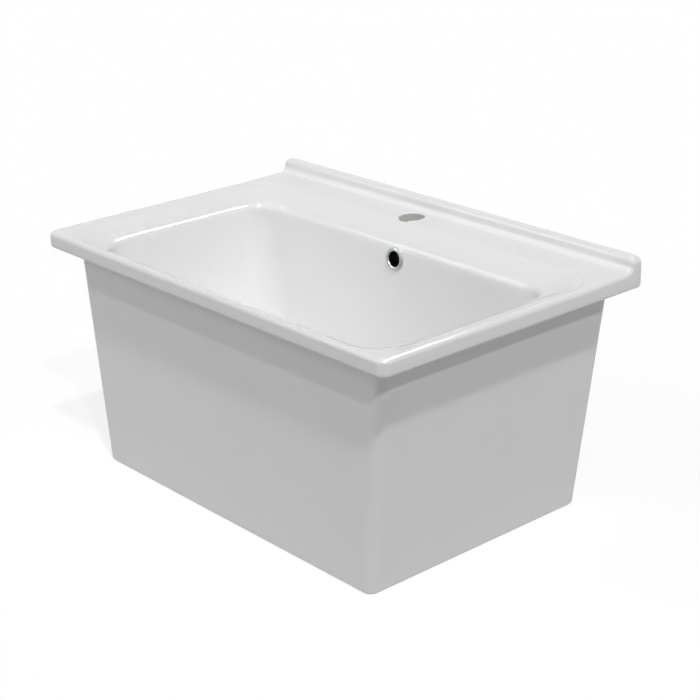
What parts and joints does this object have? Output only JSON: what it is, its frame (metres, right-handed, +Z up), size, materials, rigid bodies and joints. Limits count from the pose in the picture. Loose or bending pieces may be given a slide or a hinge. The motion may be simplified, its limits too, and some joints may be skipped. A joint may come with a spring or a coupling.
{
  "type": "washbasin",
  "caption": "Deep rectangular ceramic washbasin with overhanging rim, sloping decks, tap ledge and low upstand, tapered tub with open back, overflow ring and push waste.",
  "frame": {"origin": "centre of the overall plan, at the height of the foot's underside", "axes": "+X to the user's right along the width, +Y from the user to the wall, +Z up"},
  "size_m": [0.6, 0.39, 0.311],
  "materials": {
    "glaze": "white gloss glaze",
    "chrome": "polished",
    "brass": "turned, unplated",
    "rubber": "matt moulded",
    "nylon": "natural moulded",
    "spring_steel": "drawn wire"
  },
  "bodies": {
    "basin": {"basin_body": "glaze", "overflow_ring": "chrome", "waste_body": "chrome", "flange_seal": "rubber", "lower_seal": "rubber", "slide_washer": "nylon", "back_nut": "brass", "cartridge_housing": "nylon", "cartridge_nut": "brass", "cartridge_cap": "brass", "cartridge_spring": "spring_steel"},
    "plug": {"plug_stem": "brass", "plug_cap": "chrome", "plug_seal": "rubber"},
    "cam": {"cam_ring": "nylon"}
  },
  "joints": [
    {"name": "plug_press", "type": "slide", "parent": "basin", "child": "plug", "axis": [0, 0, 1], "range_m": [-0.0085, 0], "stiffness_N_per_m": 900, "springref_m": 0.004, "deforming": ["cartridge_spring"]},
    {"name": "cam_turn", "type": "hinge", "parent": "plug", "child": "cam", "pos_m": [0, -0.03, 0.0691], "axis": [0, 0, 1], "range_deg": [0, 45]}
  ],
  "couplings": [
    {"joint": "cam_turn", "follows": "plug_press", "rad_per_m": -92}
  ]
}
